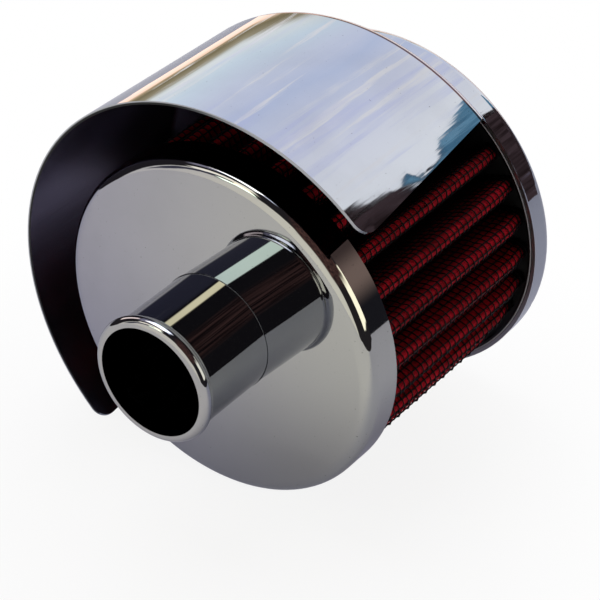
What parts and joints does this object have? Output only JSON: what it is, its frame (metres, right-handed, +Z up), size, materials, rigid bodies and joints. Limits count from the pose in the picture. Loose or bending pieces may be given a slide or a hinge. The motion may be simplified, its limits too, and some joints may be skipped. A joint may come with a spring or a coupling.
{
  "type": "crankcase breather filter",
  "caption": "Push-in crankcase breather: round pleated gauze element between chromed end plates, tubular neck with a rolled bead, and a chromed rain hood over one side.",
  "frame": {"origin": "on the filter's axis, in the flat outer face of the base plate", "axes": "-Y along the neck, out of the base plate; +Y towards the closed end; +Z up as the filter lies on its side, with the hood's middle turned 48 degrees from +Z towards -X"},
  "size_m": [0.0894, 0.0859, 0.0894],
  "materials": {
    "chrome": "polished decorative chrome plating on pressed steel",
    "gauze": "oiled red cotton gauze behind black wire screen",
    "screen": "black lacquered woven wire",
    "bare_steel": "zinc plated expanded steel",
    "seal": "satin black bonding compound"
  },
  "bodies": {
    "root": {"base_plate": "chrome", "neck_tube": "chrome", "top_plate": "chrome", "rain_hood": "chrome", "pleated_pack": "gauze", "support_core": "bare_steel", "base_seal": "seal", "top_seal": "seal"}
  },
  "joints": []
}
